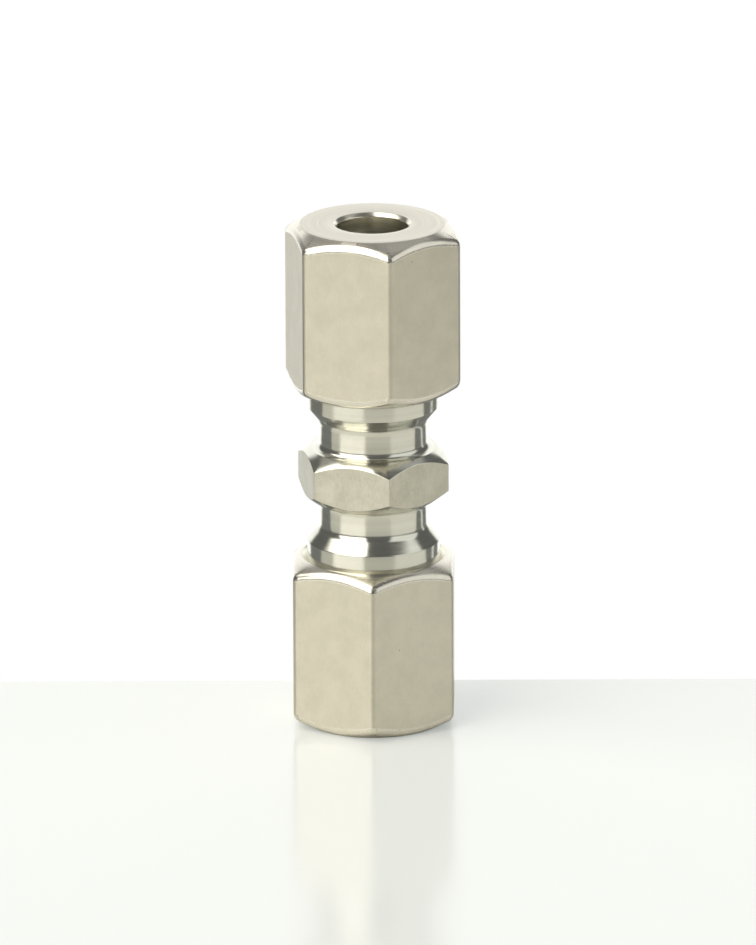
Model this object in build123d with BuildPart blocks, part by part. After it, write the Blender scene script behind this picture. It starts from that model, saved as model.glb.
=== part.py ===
"""Straight connector for two 6 mm tubes, with a 24 degree cone and a cutting ring at each end.

Millimetres. The origin is the middle of the body on the tube axis, and +Z runs along that axis
to the upper tube. The nuts are run down by hand, each until its ring is caught between the cone
in the body and the seat in the nut.
"""

from build123d import *
from math import radians, sqrt, tan
import os

os.makedirs("parts", exist_ok=True)

# The tube, and its way through the connector
tube_diameter = 6.0
tube_room = 0.1
flow_bore_diameter = 4.0
tube_stop_height = 5.0
cone_depth = 4.47
cone_half_angle = 12.0

# The thread, drawn as plain cylinders: the crests of the outer one and the roots of the inner one
thread_size = 12.0
thread_crest_drop = 0.2
thread_root_room = 0.05

# The body: a hexagon bar as wide as the thread, turned down at both ends
body_length = 24.0
hexagon_length = 4.6
hexagon_face_inset = 0.5
hexagon_chamfer_angle = 38.0
neck_length = 2.54
neck_depth = 1.02
neck_foot_radius = 0.65
neck_runout_radius = 1.15
flare_angle = 39.0
body_end_chamfer = 0.8

# The cutting ring
ring_room = 0.05
ring_length = 9.4
ring_nose_wall = 0.48
ring_nose_length = 3.2
ring_step_angle = 40.0
ring_waist_radius = 0.8
ring_collar_wall = 1.9
ring_back_wall = 0.5
ring_back_chamfer = 0.15
second_edge_setback = 1.4
chip_groove_length = 0.8
chip_groove_depth = 0.2

# The union nut
nut_wall = 1.0
nut_corner_radius = 0.6
nut_crown_radius = 0.8
nut_crown_angle = 30.0
nut_mouth_face_inset = 0.6
nut_end_face_inset = 0.7
nut_mouth_chamfer = 0.25
nut_thread_depth = 8.0
nut_seat_depth = 10.3
nut_hole_length = 2.8
nut_hole_chamfer = 0.3

# How the pieces sit when the nuts are finger tight
seat_gap = 0.05
ring_guide_room = 0.05
lower_nut_turn = -12.6

tube_hole_radius = tube_diameter / 2 + tube_room
ring_bore_radius = tube_diameter / 2 + ring_room
cone_slope = tan(radians(cone_half_angle))
cone_mouth_radius = tube_hole_radius + cone_depth * cone_slope

body_end = body_length / 2
hexagon_end = hexagon_length / 2
body_across_flats = thread_size
collar_radius = thread_size / 2 - thread_crest_drop
neck_radius = collar_radius - neck_depth

ring_nose_radius = ring_bore_radius + ring_nose_wall
ring_collar_radius = ring_bore_radius + ring_collar_wall
ring_back_radius = ring_bore_radius + ring_back_wall

nut_across_flats = thread_size + 2 * nut_wall
nut_thread_radius = thread_size / 2 + thread_root_room
nut_bore_radius = ring_collar_radius + ring_guide_room

# The ring's nose stops in the body's cone, and the nut's 45 degree seat stops on the ring's shoulder
ring_front = body_end - (cone_mouth_radius - seat_gap - ring_nose_radius) / cone_slope
ring_back = ring_front + ring_length
nut_seat = ring_back + ring_back_radius + seat_gap * sqrt(2) - nut_bore_radius
nut_start = nut_seat - nut_seat_depth
nut_hole_start = nut_seat + nut_bore_radius - tube_hole_radius
nut_end = nut_hole_start + nut_hole_length


def section_plane(end):
    """A plane through the axis: x is the radius, and y runs out to the named end, 1 or -1."""
    return Plane(origin=(0, 0, 0), x_dir=(1, 0, 0), z_dir=(0, -end, 0))


def cross_plane(end, height):
    """A plane across the axis, at a height from the middle, that faces the named end."""
    return Plane(origin=(0, 0, end * height), x_dir=(1, 0, 0), z_dir=(0, 0, end))


def half_section(end, points, rounded=()):
    """The face that closes through points of radius and distance from the middle, at one end.

    Each pair in rounded is one of those points and the radius that its corner gets.
    """
    with BuildSketch(section_plane(end)) as section:
        with BuildLine():
            Polyline(*points, close=True)
        make_face()
        for corner, radius in rounded:
            fillet(section.vertices().sort_by_distance(corner)[0], radius)
    return section.sketch


def crown_section(end, reach, face_radius, face_height, angle):
    """What a turned corner leaves: all that lies inside a cone that opens from a flat end face."""
    drop = (reach - face_radius) * tan(radians(angle))
    deep = face_height - drop - reach
    points = [
        (0, face_height),
        (face_radius, face_height),
        (reach, face_height - drop),
        (reach, deep),
        (0, deep),
    ]
    return half_section(end, points)


def make_body():
    """Hexagon with turned corners, then neck, flare, threaded collar and stepped bore each way."""
    face_radius = body_across_flats / 2 - hexagon_face_inset
    neck_foot = (neck_radius, hexagon_end)
    neck_runout = (neck_radius, hexagon_end + neck_length)
    collar_start = hexagon_end + neck_length + neck_depth / tan(radians(flare_angle))
    turned_points = [
        (0, 0),
        (face_radius, 0),
        (face_radius, hexagon_end),
        neck_foot,
        neck_runout,
        (collar_radius, collar_start),
        (collar_radius, body_end - body_end_chamfer),
        (collar_radius - body_end_chamfer, body_end),
        (0, body_end),
    ]
    neck_rounds = [(neck_foot, neck_foot_radius), (neck_runout, neck_runout_radius)]
    bored_points = [
        (0, 0),
        (flow_bore_diameter / 2, 0),
        (flow_bore_diameter / 2, tube_stop_height),
        (tube_hole_radius, tube_stop_height),
        (tube_hole_radius, body_end - cone_depth),
        (cone_mouth_radius, body_end),
        (0, body_end),
    ]
    with BuildPart() as body:
        with BuildSketch(cross_plane(1, -hexagon_end)):
            RegularPolygon(body_across_flats / 2, 6, major_radius=False, rotation=30)
        extrude(amount=hexagon_length)
        for end in (1, -1):
            crown = crown_section(
                end, body_across_flats, face_radius, hexagon_end, hexagon_chamfer_angle
            )
            revolve(crown, axis=Axis.Z, mode=Mode.INTERSECT)
        for end in (1, -1):
            revolve(half_section(end, turned_points, rounded=neck_rounds), axis=Axis.Z)
        for end in (1, -1):
            revolve(half_section(end, bored_points), axis=Axis.Z, mode=Mode.SUBTRACT)
    return body


def make_ring(end):
    """Tapered nose, stop step, collar and 45 degree shoulder, with two cutting edges in the bore."""
    groove_radius = ring_bore_radius + chip_groove_depth
    nose_end = ring_front + ring_nose_length
    step_radius = ring_nose_radius + ring_nose_length * cone_slope
    step_end = nose_end + (ring_collar_radius - step_radius) * tan(radians(ring_step_angle))
    shoulder = ring_back - (ring_collar_radius - ring_back_radius)
    second_edge = ring_front + second_edge_setback
    groove_end = second_edge + second_edge_setback
    turned_points = [
        (0, ring_front),
        (ring_nose_radius, ring_front),
        (step_radius, nose_end),
        (ring_collar_radius, step_end),
        (ring_collar_radius, shoulder),
        (ring_back_radius, ring_back),
        (0, ring_back),
    ]
    bored_points = [
        (0, ring_front),
        (ring_bore_radius, ring_front),
        (ring_bore_radius, second_edge - chip_groove_length),
        (groove_radius, second_edge),
        (ring_bore_radius, second_edge),
        (ring_bore_radius, groove_end),
        (groove_radius, groove_end),
        (ring_bore_radius, groove_end + chip_groove_length),
        (ring_bore_radius, ring_back - ring_back_chamfer),
        (ring_bore_radius + ring_back_chamfer, ring_back),
        (0, ring_back),
    ]
    with BuildPart() as ring:
        waist = [((step_radius, nose_end), ring_waist_radius)]
        revolve(half_section(end, turned_points, rounded=waist), axis=Axis.Z)
        revolve(half_section(end, bored_points), axis=Axis.Z, mode=Mode.SUBTRACT)
    return ring


def make_nut(end):
    """Hexagon with rounded corners and two crowned ends, bored for thread, ring and tube."""
    end_face_radius = nut_across_flats / 2 - nut_end_face_inset
    mouth_face_radius = nut_across_flats / 2 - nut_mouth_face_inset
    thread_end = nut_start + nut_thread_depth
    bored_points = [
        (0, nut_start),
        (nut_thread_radius + nut_mouth_chamfer, nut_start),
        (nut_thread_radius, nut_start + nut_mouth_chamfer),
        (nut_thread_radius, thread_end),
        (nut_bore_radius, thread_end),
        (nut_bore_radius, nut_seat),
        (tube_hole_radius, nut_hole_start),
        (tube_hole_radius, nut_end - nut_hole_chamfer),
        (tube_hole_radius + nut_hole_chamfer, nut_end),
        (0, nut_end),
    ]
    with BuildPart() as nut:
        with BuildSketch(cross_plane(end, nut_start)):
            RegularPolygon(nut_across_flats / 2, 6, major_radius=False, rotation=30)
        extrude(amount=nut_end - nut_start)
        fillet(nut.edges().filter_by(Axis.Z), nut_corner_radius)
        for way, face_radius, height in (
            (end, end_face_radius, nut_end),
            (-end, mouth_face_radius, -nut_start),
        ):
            crown = crown_section(way, nut_across_flats, face_radius, height, nut_crown_angle)
            revolve(crown, axis=Axis.Z, mode=Mode.INTERSECT)
        crown_edges = nut.faces().filter_by(GeomType.CONE).edges()
        fillet(crown_edges.filter_by(GeomType.CIRCLE, reverse=True), nut_crown_radius)
        revolve(half_section(end, bored_points), axis=Axis.Z, mode=Mode.SUBTRACT)
    return nut


fitting_body = make_body()
fitting_body.part.label = "fitting_body"
export_step(fitting_body.part, "parts/fitting_body.step")

for side, end, turn in (("top", 1, 0.0), ("bottom", -1, lower_nut_turn)):
    cutting_ring = make_ring(end)
    cutting_ring.part.label = f"cutting_ring_{side}"
    export_step(cutting_ring.part, f"parts/cutting_ring_{side}.step")

    union_nut = make_nut(end)
    union_nut.part = union_nut.part.rotate(Axis.Z, turn)
    union_nut.part.label = f"union_nut_{side}"
    export_step(union_nut.part, f"parts/union_nut_{side}.step")

print("ring from", round(ring_front, 3), "to", round(ring_back, 3))
print("nut from", round(nut_start, 3), "to", round(nut_end, 3))
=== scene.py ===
import math
import bpy
from mathutils import Matrix, Vector


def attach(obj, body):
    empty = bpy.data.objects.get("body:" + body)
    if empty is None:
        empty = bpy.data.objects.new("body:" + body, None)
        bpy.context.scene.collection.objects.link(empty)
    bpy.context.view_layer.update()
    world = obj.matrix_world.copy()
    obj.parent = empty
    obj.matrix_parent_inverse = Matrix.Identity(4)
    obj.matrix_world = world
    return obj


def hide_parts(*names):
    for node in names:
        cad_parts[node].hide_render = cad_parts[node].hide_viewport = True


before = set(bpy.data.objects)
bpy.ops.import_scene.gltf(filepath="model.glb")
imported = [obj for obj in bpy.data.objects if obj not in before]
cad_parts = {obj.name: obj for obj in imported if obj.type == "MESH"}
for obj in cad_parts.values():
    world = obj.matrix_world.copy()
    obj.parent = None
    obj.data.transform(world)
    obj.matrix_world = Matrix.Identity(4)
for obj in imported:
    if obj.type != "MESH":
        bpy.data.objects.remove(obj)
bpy.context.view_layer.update()        # the body, two cutting rings and two union nuts

mm = 0.001
pitch = 1.5              # of both threads, in millimetres, right-handed
mergeDistance = 0.0005 * mm
threadFlank = math.tan(math.radians(30))


def deselectAll():
    bpy.ops.object.select_all(action="DESELECT")


def makeActive(piece):
    deselectAll()
    piece.select_set(True)
    bpy.context.view_layer.objects.active = piece


def turnedOutline(corners, arcSteps=8):
    # corners are (radius, height) or (radius, height, rounding), in millimetres
    outline = []
    for i, corner in enumerate(corners):
        here = Vector(corner[:2])
        if len(corner) == 2:
            outline.append(here)
            continue
        back = (Vector(corners[i - 1][:2]) - here).normalized()
        ahead = (Vector(corners[(i + 1) % len(corners)][:2]) - here).normalized()
        half = back.angle(ahead) / 2
        middle = here + (back + ahead).normalized() * corner[2] / math.sin(half)
        reach = corner[2] / math.tan(half)
        first, last = here + back * reach - middle, here + ahead * reach - middle
        swing = math.pi - 2 * half
        steps = arcSteps if corner[2] > 0.3 else 3
        for k in range(steps + 1):
            spoke = first * math.sin((1 - k / steps) * swing) + last * math.sin(k / steps * swing)
            outline.append(middle + spoke.normalized() * corner[2])
    return outline


def turnOnLathe(name, corners, steps):
    # a closed outline beside the axis, spun round it into a bored solid
    outline = turnedOutline(corners)
    deselectAll()
    bpy.ops.mesh.primitive_circle_add(vertices=len(outline), radius=mm)
    piece = bpy.context.object
    piece.name = name
    for vertex, point in zip(piece.data.vertices, outline):
        vertex.co = (point.x * mm, 0, point.y * mm)
    bpy.ops.object.mode_set(mode="EDIT")
    bpy.ops.mesh.select_all(action="SELECT")
    bpy.ops.mesh.spin(steps=steps, angle=math.tau, center=(0, 0, 0), axis=(0, 0, 1))
    bpy.ops.mesh.select_all(action="SELECT")
    bpy.ops.mesh.remove_doubles(threshold=mergeDistance)
    bpy.ops.mesh.normals_make_consistent(inside=False)
    bpy.ops.object.mode_set(mode="OBJECT")
    return piece


def selectEdges(piece, test):
    # leaves the piece in edit mode with each edge selected that passes; the test gets the
    # normals of the two faces beside it, its middle and its vector, in millimetres
    makeActive(piece)
    bpy.ops.object.mode_set(mode="EDIT")
    bpy.ops.mesh.select_mode(type="EDGE")
    bpy.ops.mesh.select_all(action="DESELECT")
    bpy.ops.object.mode_set(mode="OBJECT")
    mesh = piece.data
    sides = {}
    for face in mesh.polygons:
        for key in face.edge_keys:
            sides.setdefault(key, []).append(face.normal)
    for edge in mesh.edges:
        a, b = (mesh.vertices[k].co / mm for k in edge.vertices)
        normals = sides.get(edge.key, [])
        edge.select = len(normals) == 2 and test(normals[0], normals[1], (a + b) / 2, b - a)
    bpy.ops.object.mode_set(mode="EDIT")


def breakEdges(piece, width, segments, test):
    selectEdges(piece, test)
    bpy.ops.mesh.bevel(offset=width * mm, segments=segments, profile=0.5, clamp_overlap=False)
    bpy.ops.object.mode_set(mode="OBJECT")


def hexagonBar(acrossFlats, cornerRadius, bottom, top, turn):
    # a drawn bar along the axis; with no turn two of its corners lie along Y
    deselectAll()
    bpy.ops.mesh.primitive_cylinder_add(
        vertices=6, radius=acrossFlats / math.sqrt(3) * mm, depth=(top - bottom) * mm,
        location=(0, 0, (top + bottom) / 2 * mm), rotation=(0, 0, math.radians(turn)))
    bar = bpy.context.object
    bar.name = "hexagonBar"
    bpy.ops.object.transform_apply(location=True, rotation=True, scale=True)
    if cornerRadius:
        breakEdges(bar, cornerRadius * math.tan(math.radians(30)), 8,
                   lambda a, b, middle, edge: abs(edge.z) > 0.9 * (top - bottom))
    return bar


def useTool(piece, tool, operation):
    makeActive(piece)
    bpy.ops.object.modifier_add(type="BOOLEAN")
    modifier = piece.modifiers[-1]
    modifier.operation = operation
    modifier.solver = "EXACT"
    modifier.object = tool
    bpy.ops.object.modifier_apply(modifier=modifier.name)
    bpy.data.objects.remove(tool)
    bpy.ops.object.mode_set(mode="EDIT")
    bpy.ops.mesh.select_all(action="SELECT")
    bpy.ops.mesh.remove_doubles(threshold=mergeDistance)
    bpy.ops.object.mode_set(mode="OBJECT")


def threadTool(tip, reach, phase, first, last, runOutTurns, atEnd, steps=120, clearOf=0.15):
    # a coil of 60 degree section, from its tip, a (radius, half width), to a reach beside it,
    # outwards or, if less than 0, inwards; first and last count turns from the middle, and at one
    # end the coil runs out of the metal
    back = (tip[0] + reach, tip[1] + 2 * abs(reach) * threadFlank)
    turns = last - first
    angle = first * math.tau
    deselectAll()
    bpy.ops.mesh.primitive_circle_add(vertices=4, radius=mm, fill_type="NGON")
    tool = bpy.context.object
    tool.name = "threadTool"
    section = [(tip[0], -tip[1]), (tip[0], tip[1]), (back[0], back[1]), (back[0], -back[1])]
    for vertex, (radius, width) in zip(tool.data.vertices, section):
        height = phase + first * pitch + width / 2
        vertex.co = Vector((radius * math.cos(angle), radius * math.sin(angle), height)) * mm
    bpy.ops.object.modifier_add(type="SCREW")
    modifier = tool.modifiers[-1]
    modifier.angle = turns * math.tau
    modifier.screw_offset = turns * pitch * mm
    modifier.steps = modifier.render_steps = round(steps * turns)
    modifier.use_merge_vertices = False
    bpy.ops.object.modifier_apply(modifier=modifier.name)
    outwards = 1 if back[0] > tip[0] else -1
    for vertex in tool.data.vertices:
        x, y, z = vertex.co / mm
        turn = (z - phase) / pitch
        into = (last - turn if atEnd else turn - first) / runOutTurns
        lift = (1 - max(0, min(1, into))) ** 2 * (abs(back[0] - tip[0]) + clearOf)
        grown = 1 + outwards * lift / math.hypot(x, y)
        vertex.co = Vector((x * grown, y * grown, z)) * mm
    bpy.ops.object.mode_set(mode="EDIT")
    bpy.ops.mesh.select_all(action="SELECT")
    bpy.ops.mesh.normals_make_consistent(inside=False)
    bpy.ops.object.mode_set(mode="OBJECT")
    return tool


def smoothOver(piece, angle=33):
    makeActive(piece)
    bpy.ops.object.mode_set(mode="EDIT")
    bpy.ops.mesh.select_all(action="SELECT")
    bpy.ops.mesh.delete_loose(use_verts=True, use_edges=True, use_faces=False)
    bpy.ops.mesh.select_all(action="SELECT")
    bpy.ops.mesh.normals_make_consistent(inside=False)
    bpy.ops.object.mode_set(mode="OBJECT")
    bpy.ops.object.shade_smooth_by_angle(angle=math.radians(angle))
    bpy.ops.object.modifier_add(type="WEIGHTED_NORMAL")
    modifier = piece.modifiers[-1]
    modifier.keep_sharp = True
    bpy.ops.object.modifier_apply(modifier=modifier.name)


def give(piece, materials, choose):
    # choose gets a face's middle in millimetres and its normal, and names one of the materials
    names = list(materials)
    for name in names:
        piece.data.materials.append(materials[name])
    for face in piece.data.polygons:
        face.material_index = names.index(choose(face.center / mm, face.normal))


# Materials

def newGroup(name, inputs, outputs):
    group = bpy.data.node_groups.new(name, "ShaderNodeTree")
    for label, value in inputs.items():
        socket = group.interface.new_socket(label, in_out="INPUT", socket_type="NodeSocketFloat")
        socket.default_value = value
    for label, kind in outputs.items():
        group.interface.new_socket(label, in_out="OUTPUT", socket_type=kind)
    return group, group.nodes.new("NodeGroupInput"), group.nodes.new("NodeGroupOutput")


def addNode(tree, kind, **settings):
    # settings whose value is a socket are linked, others are set; inputs are named or numbered
    node = tree.nodes.new(kind)
    for name, value in settings.pop("set", {}).items():
        setattr(node, name, value)
    for name, value in settings.pop("put", {}).items():
        socket = node.inputs[name]
        if isinstance(value, bpy.types.NodeSocket):
            tree.links.new(value, socket)
        else:
            socket.default_value = value
    return node


def calc(tree, operation, a, b=0.0, c=0.0):
    node = addNode(tree, "ShaderNodeMath", set={"operation": operation}, put={0: a, 1: b, 2: c})
    return node.outputs[0]


def reckon(tree, operation, a, b=None, scale=None):
    # vector arithmetic; the node has its result in Value or in Vector
    put = {0: a}
    if b is not None:
        put[1] = b
    if scale is not None:
        put["Scale"] = scale
    return addNode(tree, "ShaderNodeVectorMath", set={"operation": operation}, put=put).outputs


def ramp(tree, value, low, high, toLow=0.0, toHigh=1.0):
    node = addNode(tree, "ShaderNodeMapRange", set={"interpolation_type": "SMOOTHSTEP"}, put={
        "Value": value, "From Min": low, "From Max": high, "To Min": toLow, "To Max": toHigh})
    return node.outputs[0]


def noise(tree, vector, scale, detail=4.0, roughness=0.6, w=None):
    put = {"Vector": vector, "Scale": scale, "Detail": detail, "Roughness": roughness}
    dimensions = "3D"
    if w is not None:
        put["W"] = w
        dimensions = "4D"
    node = addNode(tree, "ShaderNodeTexNoise", set={"noise_dimensions": dimensions}, put=put)
    return node.outputs["Fac"]


def mixColours(tree, factor, first, second):
    # each of the two is a colour or a socket that gives one
    node = addNode(tree, "ShaderNodeMix", set={"data_type": "RGBA"}, put={"Factor": factor})
    sockets = [socket for socket in node.inputs if socket.type == "RGBA"]
    for socket, colour in zip(sockets, (first, second)):
        if isinstance(colour, bpy.types.NodeSocket):
            tree.links.new(colour, socket)
        else:
            socket.default_value = (*colour, 1)
    return next(socket for socket in node.outputs if socket.type == "RGBA")


def makeTurningMarks():
    # lines left by the tool: they run round the axis, on cylinders, cones and end faces alike
    tree, given, result = newGroup(
        "turningMarks", {"Lines per mm": 9.0, "Drift": 0.35},
        {"Height": "NodeSocketFloat", "Tone": "NodeSocketFloat"})
    place = addNode(tree, "ShaderNodeTexCoord").outputs["Object"]
    parts = addNode(tree, "ShaderNodeSeparateXYZ", put={0: place}).outputs
    flat = addNode(tree, "ShaderNodeCombineXYZ", put={0: parts[0], 1: parts[1]}).outputs[0]
    radius = reckon(tree, "LENGTH", flat)["Value"]
    away = reckon(tree, "NORMALIZE", flat)[0]
    away = addNode(tree, "ShaderNodeSeparateXYZ", put={0: away}).outputs
    lines = calc(tree, "MULTIPLY", given.outputs["Lines per mm"], 1 / mm)
    along = addNode(tree, "ShaderNodeCombineXYZ", put={
        0: calc(tree, "MULTIPLY", radius, lines), 1: calc(tree, "MULTIPLY", parts[2], lines),
        2: calc(tree, "MULTIPLY", away[0], given.outputs["Drift"])}).outputs[0]
    w = calc(tree, "MULTIPLY", away[1], given.outputs["Drift"])
    tree.links.new(noise(tree, along, 1.0, 3.0, 0.7, w), result.inputs["Height"])
    tree.links.new(noise(tree, along, 0.16, 3.0, 0.6, w), result.inputs["Tone"])
    return tree


usualGrain = {"Grains per mm": 7.0, "Stretch": 5.0, "Patches per mm": 0.55, "Pits per mm": 0.9}


def makeDrawnGrain():
    # what drawing and tumbling leave on the flats: fine vertical grain, cloudy patches, small pits
    tree, given, result = newGroup(
        "drawnGrain", usualGrain,
        {"Height": "NodeSocketFloat", "Tone": "NodeSocketFloat", "Pits": "NodeSocketFloat"})
    place = addNode(tree, "ShaderNodeTexCoord").outputs["Object"]
    parts = addNode(tree, "ShaderNodeSeparateXYZ", put={0: place}).outputs
    low = calc(tree, "DIVIDE", parts[2], given.outputs["Stretch"])
    drawn = addNode(tree, "ShaderNodeCombineXYZ", put={0: parts[0], 1: parts[1], 2: low}).outputs[0]

    def perMetre(label, share=1.0):
        return calc(tree, "MULTIPLY", given.outputs[label], share / mm)
    grain = noise(tree, drawn, perMetre("Grains per mm"), 4.0, 0.7)
    speckle = noise(tree, place, perMetre("Grains per mm", 0.8), 2.0, 0.6)
    patches = noise(tree, place, perMetre("Patches per mm"), 4.0, 0.6)
    spot = addNode(tree, "ShaderNodeTexVoronoi", put={
        "Vector": place, "Scale": perMetre("Pits per mm")})
    chance = addNode(tree, "ShaderNodeSeparateColor", put={0: spot.outputs["Color"]}).outputs
    small = calc(tree, "MULTIPLY_ADD", chance[1], 0.06, 0.015)
    pit = calc(tree, "MULTIPLY", calc(tree, "LESS_THAN", spot.outputs["Distance"], small),
               calc(tree, "GREATER_THAN", chance[0], 0.6))
    height = calc(tree, "MULTIPLY_ADD", grain, 0.6, calc(tree, "MULTIPLY", speckle, 0.4))
    tree.links.new(height, result.inputs["Height"])
    tone = calc(tree, "MULTIPLY_ADD", height, 0.55, calc(tree, "MULTIPLY", patches, 0.45))
    tree.links.new(tone, result.inputs["Tone"])
    tree.links.new(pit, result.inputs["Pits"])
    return tree


turningMarks = makeTurningMarks()
drawnGrain = makeDrawnGrain()


def startMetal(name, group, settings):
    material = bpy.data.materials.new(name)
    material.use_nodes = True
    tree = material.node_tree
    marks = tree.nodes.new("ShaderNodeGroup")
    marks.node_tree = group
    for label, value in settings.items():
        marks.inputs[label].default_value = value
    shader = tree.nodes["Principled BSDF"]
    shader.inputs["Metallic"].default_value = 1.0
    return material, tree, marks.outputs, shader


def bump(tree, height, depth, shader):
    node = addNode(tree, "ShaderNodeBump", put={
        "Height": height, "Distance": depth * mm, "Strength": 1.0})
    tree.links.new(node.outputs[0], shader.inputs["Normal"])


def turnedSteel(name, dark, light, roughness, spread, depth, lines, anisotropy=0.0):
    material, tree, marks, shader = startMetal(name, turningMarks, {"Lines per mm": lines})
    tone = ramp(tree, marks["Tone"], 0.3, 0.7)
    tree.links.new(mixColours(tree, tone, dark, light), shader.inputs["Base Color"])
    tree.links.new(ramp(tree, marks["Height"], 0.3, 0.7, roughness - spread, roughness + spread),
                   shader.inputs["Roughness"])
    if anisotropy:
        shader.inputs["Anisotropic"].default_value = anisotropy
        shader.inputs["Anisotropic Rotation"].default_value = 0.25
        lay = addNode(tree, "ShaderNodeTangent", set={"direction_type": "RADIAL", "axis": "Z"})
        tree.links.new(lay.outputs[0], shader.inputs["Tangent"])
    bump(tree, marks["Height"], depth, shader)
    return material


pitColour = (0.16, 0.13, 0.09)
pitCover = 0.7


def drawnSteel(name, dark, light, roughness, spread, depth, grain):
    material, tree, marks, shader = startMetal(name, drawnGrain, {**usualGrain, **grain})
    tone = ramp(tree, marks["Tone"], 0.35, 0.65)
    colour = mixColours(tree, tone, dark, light)
    pitted = mixColours(tree, calc(tree, "MULTIPLY", marks["Pits"], pitCover), colour, pitColour)
    tree.links.new(pitted, shader.inputs["Base Color"])
    tree.links.new(ramp(tree, marks["Height"], 0.3, 0.7, roughness - spread, roughness + spread),
                   shader.inputs["Roughness"])
    height = calc(tree, "SUBTRACT", marks["Height"], calc(tree, "MULTIPLY", marks["Pits"], 1.5))
    bump(tree, height, depth, shader)
    return material


# dark and light colour, roughness and how far it strays, depth of the marks in millimetres
flatSteel = drawnSteel(
    "nutFlatSteel", (0.655, 0.63, 0.525), (0.74, 0.705, 0.595), 0.42, 0.07, 0.004,
    {"Grains per mm": 8.0})
hexagonSteel = drawnSteel(
    "hexagonFlatSteel", (0.55, 0.535, 0.445), (0.7, 0.68, 0.585), 0.4, 0.08, 0.01,
    {"Grains per mm": 5.0, "Stretch": 3.0, "Pits per mm": 1.1})
# the same, then the turning lines in a millimetre and, for the body, how far they draw its shine
crownSteel = turnedSteel(
    "nutCrownSteel", (0.72, 0.69, 0.6), (0.8, 0.77, 0.69), 0.24, 0.05, 0.002, 6.0)
faceSteel = turnedSteel(
    "nutFaceSteel", (0.74, 0.71, 0.62), (0.82, 0.79, 0.71), 0.38, 0.06, 0.003, 8.0)
boreSteel = turnedSteel(
    "boreSteel", (0.72, 0.7, 0.6), (0.86, 0.84, 0.74), 0.22, 0.05, 0.003, 7.0)
brightSteel = turnedSteel(
    "turnedBodySteel", (0.68, 0.675, 0.6), (0.75, 0.745, 0.67), 0.16, 0.05, 0.0015, 9.0, 0.6)
ringSteel = turnedSteel(
    "cuttingRingSteel", (0.6, 0.59, 0.54), (0.7, 0.69, 0.64), 0.3, 0.06, 0.003, 7.0)
print("materials ready")


# The body: a hexagon bar turned down at both ends, with its threads cut last

bodySizes = {
    "flowRadius": 2, "socketRadius": 3.1, "stopHeight": 5, "coneStart": 7.53,
    "end": 12, "coneMouth": 4.05, "endFace": 5.0, "collarEnd": 11.2, "collarStart": 6.1,
    "collarRadius": 5.8, "neckRadius": 4.78, "neckEnd": 4.84, "runOutRounding": 1.15,
    "hexagon": 12, "hexagonEnd": 2.3, "hexagonFace": 5.5, "footRounding": 0.65, "edgeBreak": 0.06,
    "threadDepth": 0.92, "threadTip": 0.1, "threadReach": 1.08, "threadRunOut": 0.35,
    "upperTurns": (4.67, 8.15), "lowerTurns": (-9.1, -5.7), "steps": 240,
}


def makeBody():
    s = bodySizes
    collar, neck, end, socket = s["collarRadius"], s["neckRadius"], s["end"], s["socketRadius"]
    chamferEnd = (7.5, 0.737)       # outside the bar, on the line of the hexagon's turned corners
    upper = [
        (s["flowRadius"], s["stopHeight"]), (socket, s["stopHeight"]),
        (socket, s["coneStart"], 0.2),
        (s["coneMouth"], end), (s["endFace"], end, 0.08), (collar, s["collarEnd"], 0.08),
        (collar, s["collarStart"], 0.12), (neck, s["neckEnd"], s["runOutRounding"]),
        (neck, s["hexagonEnd"], s["footRounding"]), (s["hexagonFace"], s["hexagonEnd"], 0.06),
        chamferEnd,
    ]
    lower = [(c[0], -c[1], *c[2:]) for c in reversed(upper)]
    body = turnOnLathe("fittingBody", upper + lower, s["steps"])
    useTool(body, hexagonBar(s["hexagon"], 0, -end - 2, end + 2, 0), "INTERSECT")
    outside = 5.9                   # only the hexagon lies beyond this radius
    breakEdges(body, s["edgeBreak"], 2, lambda a, b, middle, edge:
               math.hypot(middle.x, middle.y) > outside and a.angle(b) > 0.3)
    tip = (collar - s["threadDepth"], s["threadTip"])
    for turns, atEnd in ((s["upperTurns"], False), (s["lowerTurns"], True)):
        coil = threadTool(tip, s["threadReach"], pitch / 2, *turns, s["threadRunOut"], atEnd)
        useTool(body, coil, "DIFFERENCE")
    smoothOver(body)

    def finish(middle, normal):
        radius = math.hypot(middle.x, middle.y)
        if radius > outside and abs(normal.z) < 0.3:
            return "hexagon"
        return "bore" if radius < 3.9 or abs(middle.z) > end - 0.001 else "turned"
    give(body, {"turned": brightSteel, "hexagon": hexagonSteel, "bore": boreSteel}, finish)
    return body


# The nuts: bar with rounded corners, both ends crowned, bored for thread, ring and tube

nutSizes = {
    "hexagon": 14, "cornerRounding": 0.6, "crownRounding": 0.46, "crownAngle": 30,
    "mouth": 7.5089, "height": 15, "endFace": 6.3, "mouthFace": 6.4, "mouthRadius": 6.3,
    "holeRadius": 3.1, "holeStart": 12.2, "holeChamfer": 0.3, "endRounding": 0.25,
    "chamberRadius": 5.0, "seatHeight": 10.3, "threadEnd": 8.0, "threadStart": 0.9,
    "minorRadius": 5.2, "majorRadius": 6.05, "threadTip": 0.1, "threadReach": -1.0,
    "threadRunOut": 0.35, "threadTurns": (4.6, 9.8), "lowerTurn": -12.6, "steps": 240,
}


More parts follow.
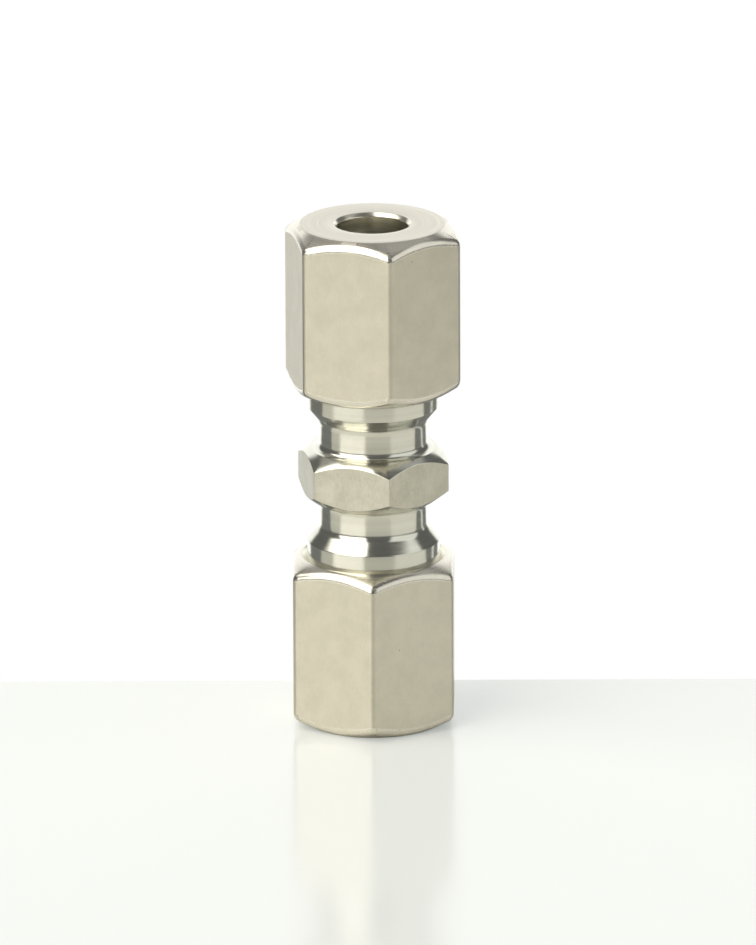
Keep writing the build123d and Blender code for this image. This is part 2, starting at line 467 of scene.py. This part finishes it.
def makeNut(side, end, turn):
    s = nutSizes
    mouth, height, hole, minor = s["mouth"], s["height"], s["holeRadius"], s["minorRadius"]
    slope = math.tan(math.radians(s["crownAngle"]))
    reach = 9                       # outside the bar's corners
    chamfer, softened = s["holeChamfer"], 0.1
    corners = [
        (s["mouthRadius"], 0), (s["mouthFace"], 0), (reach, (reach - s["mouthFace"]) * slope),
        (reach, height - (reach - s["endFace"]) * slope), (s["endFace"], height, s["endRounding"]),
        (hole + chamfer, height, softened), (hole, height - chamfer, softened),
        (hole, s["holeStart"]), (s["chamberRadius"], s["seatHeight"]),
        (s["chamberRadius"], s["threadEnd"]), (minor, s["threadEnd"]), (minor, s["threadStart"]),
    ]
    corners = [(c[0], end * (mouth + c[1]), *c[2:]) for c in corners]
    nut = turnOnLathe(f"unionNut_{side}", corners, s["steps"])
    low, high = sorted((end * (mouth - 1), end * (mouth + height + 1)))
    useTool(nut, hexagonBar(s["hexagon"], s["cornerRounding"], low, high, turn), "INTERSECT")

    def crownEdge(a, b, middle, edge):
        # where an upright flat meets the cone of a crown
        wall, cone = sorted((abs(a.z), abs(b.z)))
        return wall < 0.02 and 0.8 < cone < 0.93 and math.hypot(middle.x, middle.y) > 6.9
    breakEdges(nut, s["crownRounding"], 8, crownEdge)
    turns = sorted(end * count for count in s["threadTurns"])
    tip = (s["majorRadius"], s["threadTip"])
    coil = threadTool(tip, s["threadReach"], 0, *turns, s["threadRunOut"], end > 0)
    useTool(nut, coil, "DIFFERENCE")
    smoothOver(nut)

    def finish(middle, normal):
        radius = math.hypot(middle.x, middle.y)
        if radius > 6.5:
            return "flat" if abs(normal.z) < 0.02 else "crown"
        onEnd = abs(normal.z) > 0.85 and radius > 3.3 and end * middle.z > 20
        return "face" if onEnd else "bore"
    steels = {"flat": flatSteel, "crown": crownSteel, "face": faceSteel, "bore": boreSteel}
    give(nut, steels, finish)
    return nut


# The cutting rings: tapered nose, stop step, collar and shoulder, two cutting edges in the bore

ringSizes = {
    "front": 9.788, "length": 9.4, "boreRadius": 3.05, "collarRadius": 4.95,
    "noseRadius": 3.53, "noseLength": 3.2, "stepRadius": 4.21, "stepEnd": 3.82,
    "waistRounding": 0.8, "backRadius": 3.55, "backChamfer": 0.15,
    "firstGroove": (0.6, 1.4), "secondGroove": (2.8, 3.6), "grooveDepth": 0.2, "steps": 240,
}


def makeRing(side, end):
    s = ringSizes
    front, back = s["front"], s["front"] + s["length"]
    bore, collar = s["boreRadius"], s["collarRadius"]
    groove, chamfer = bore + s["grooveDepth"], s["backChamfer"]
    first, second = s["firstGroove"], s["secondGroove"]
    corners = [
        (bore, front), (s["noseRadius"], front, 0.04),
        (s["stepRadius"], front + s["noseLength"], s["waistRounding"]),
        (collar, front + s["stepEnd"], 0.1), (collar, back - collar + s["backRadius"], 0.1),
        (s["backRadius"], back, 0.06), (bore + chamfer, back), (bore, back - chamfer),
        (bore, front + second[1]), (groove, front + second[0]), (bore, front + second[0]),
        (bore, front + first[1]), (groove, front + first[1]), (bore, front + first[0]),
    ]
    corners = [(c[0], end * c[1], *c[2:]) for c in corners]
    ring = turnOnLathe(f"cuttingRing_{side}", corners, s["steps"])
    smoothOver(ring)
    give(ring, {"ring": ringSteel}, lambda middle, normal: "ring")
    return ring


def place(piece, body, node, slot):
    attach(piece, body)
    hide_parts(node)


place(makeBody(), "body", "fitting_body", "turned_steel")
print("body made")
for side, end, turn in (("top", 1, 0), ("bottom", -1, nutSizes["lowerTurn"])):
    place(makeRing(side, end), f"ring_{side}", f"cutting_ring_{side}", "ring_steel")
    place(makeNut(side, end, turn), f"nut_{side}", f"union_nut_{side}", "nut_steel")
print("rings and nuts made")


# Camera, in the place from which the photograph was taken

cameraSetup = {
    "azimuth": -11.65, "elevation": 16.95, "distance": 1300, "roll": -0.22,
    "lens": 566.93, "shift": (0.00494, -0.00201),
}


def makeCamera():
    s = cameraSetup
    azimuth, elevation = math.radians(s["azimuth"]), math.radians(s["elevation"])
    level = math.cos(elevation)
    back = Vector((math.sin(azimuth) * level, -math.cos(azimuth) * level, math.sin(elevation)))
    data = bpy.data.cameras.new("camera")
    camera = bpy.data.objects.new("camera", data)
    bpy.context.scene.collection.objects.link(camera)
    data.sensor_width = 36
    data.lens = s["lens"]
    data.shift_x, data.shift_y = s["shift"]
    data.clip_start, data.clip_end = 0.01, 20
    roll = Matrix.Rotation(math.radians(s["roll"]), 3, "Z")
    turned = (-back).to_track_quat("-Z", "Y").to_matrix() @ roll
    camera.matrix_world = Matrix.Translation(back * s["distance"] * mm) @ turned.to_4x4()
    bpy.context.scene.camera = camera


makeCamera()


# The plate that it stands on, whose far edge is close behind it

plateSizes = {
    "width": 700, "depth": 420, "behind": 10.7, "thickness": 5, "top": -22.5089, "edge": 0.4,
}


def makePlate():
    s = plateSizes
    deselectAll()
    bpy.ops.mesh.primitive_cube_add(size=1)
    plate = bpy.context.object
    plate.name = "plate"
    plate.scale = (s["width"] * mm, s["depth"] * mm, s["thickness"] * mm)
    bpy.ops.object.transform_apply(location=False, rotation=False, scale=True)
    plate.data.transform(Matrix.Translation(Vector((
        0, s["behind"] - s["depth"] / 2, s["top"] - s["thickness"] / 2)) * mm))
    plate.data.transform(Matrix.Rotation(math.radians(cameraSetup["azimuth"]), 4, "Z"))
    breakEdges(plate, s["edge"], 3, lambda a, b, middle, edge: True)
    material = bpy.data.materials.new("plateGloss")
    material.use_nodes = True
    tree = material.node_tree
    shader = tree.nodes["Principled BSDF"]
    # the camera sees part of its white as a glow, which keeps the shadow on it faint
    seen = tree.nodes.new("ShaderNodeLightPath").outputs["Is Camera Ray"]
    base = mixColours(tree, seen, (0.87, 0.87, 0.82), (0.55, 0.55, 0.52))
    glow = mixColours(tree, seen, (0, 0, 0), (0.315, 0.336, 0.336))
    tree.links.new(base, shader.inputs["Base Color"])
    tree.links.new(glow, shader.inputs["Emission Color"])
    shader.inputs["Emission Strength"].default_value = 1.0
    shader.inputs["Roughness"].default_value = 0.16
    plate.data.materials.append(material)


makePlate()


# Light: a studio of pale cards round it, given by where they stand. Azimuth counts from the
# camera, to the right as it looks; each card fades in and out over the degrees named last

roomColour = (0.14, 0.142, 0.138)
studioCards = {
    "left": {"azimuth": (-74, -17), "elevation": (8, 89), "fade": 8,
             "colour": (2.7, 2.6, 2.4)},
    "leftHigh": {"azimuth": (-109, -74), "elevation": (34, 86), "fade": 8,
                 "colour": (2.3, 2.22, 2.05)},
    "leftBack": {"azimuth": (-176, -109), "elevation": (38, 88), "fade": 8,
                 "colour": (0.22, 0.21, 0.19)},
    "right": {"azimuth": (37, 102), "elevation": (4, 45), "fade": 8,
              "colour": (0.8, 0.8, 0.77)},
    "rightHigh": {"azimuth": (86, 176), "elevation": (42, 78), "fade": 8,
                  "colour": (0.28, 0.28, 0.27)},
    "behind": {"azimuth": (147, 218), "elevation": (-24, 32), "fade": 9,
               "colour": (1.1, 1.1, 1.08)},
    "rightStrip": {"azimuth": (121, 128), "elevation": (-60, 2), "fade": 3,
                   "colour": (0.6, 0.6, 0.6)},
    "low": {"azimuth": (-400, 400), "elevation": (-90, -6), "fade": 6,
            "colour": (0.07, 0.075, 0.07)},
}


def makeStudio():
    world = bpy.data.worlds.new("studio")
    bpy.context.scene.world = world
    world.use_nodes = True
    tree = world.node_tree
    shown = tree.nodes["Background"]
    facing = math.radians(cameraSetup["azimuth"])
    away = addNode(tree, "ShaderNodeTexCoord").outputs["Generated"]
    front = reckon(tree, "DOT_PRODUCT", away, (math.sin(facing), -math.cos(facing), 0))["Value"]
    right = reckon(tree, "DOT_PRODUCT", away, (math.cos(facing), math.sin(facing), 0))["Value"]
    height = addNode(tree, "ShaderNodeSeparateXYZ", put={0: away}).outputs[2]
    azimuth = calc(tree, "MULTIPLY", calc(tree, "ARCTAN2", right, front), 180 / math.pi)
    behindAzimuth = calc(tree, "WRAP", azimuth, 360.0, 0.0)
    elevation = calc(tree, "MULTIPLY", calc(tree, "ARCSINE", height), 180 / math.pi)
    light = addNode(tree, "ShaderNodeCombineXYZ", put=dict(enumerate(roomColour))).outputs[0]
    for card in studioCards.values():
        low, high = card["azimuth"]
        turn = behindAzimuth if high > 180 and low > 0 else azimuth
        half = card["fade"] / 2
        share = 1.0
        for value, (a, b) in ((turn, card["azimuth"]), (elevation, card["elevation"])):
            share = calc(tree, "MULTIPLY", ramp(tree, value, a - half, a + half), share)
            share = calc(tree, "MULTIPLY", ramp(tree, value, b - half, b + half, 1.0, 0.0), share)
        light = reckon(tree, "ADD", light, reckon(tree, "SCALE", card["colour"], scale=share)[0])[0]
    seen = tree.nodes.new("ShaderNodeLightPath").outputs["Is Camera Ray"]
    tree.links.new(mixColours(tree, seen, light, (1, 1, 1)), shown.inputs["Color"])


makeStudio()
bpy.context.scene.view_settings.view_transform = "Standard"
print("studio ready")
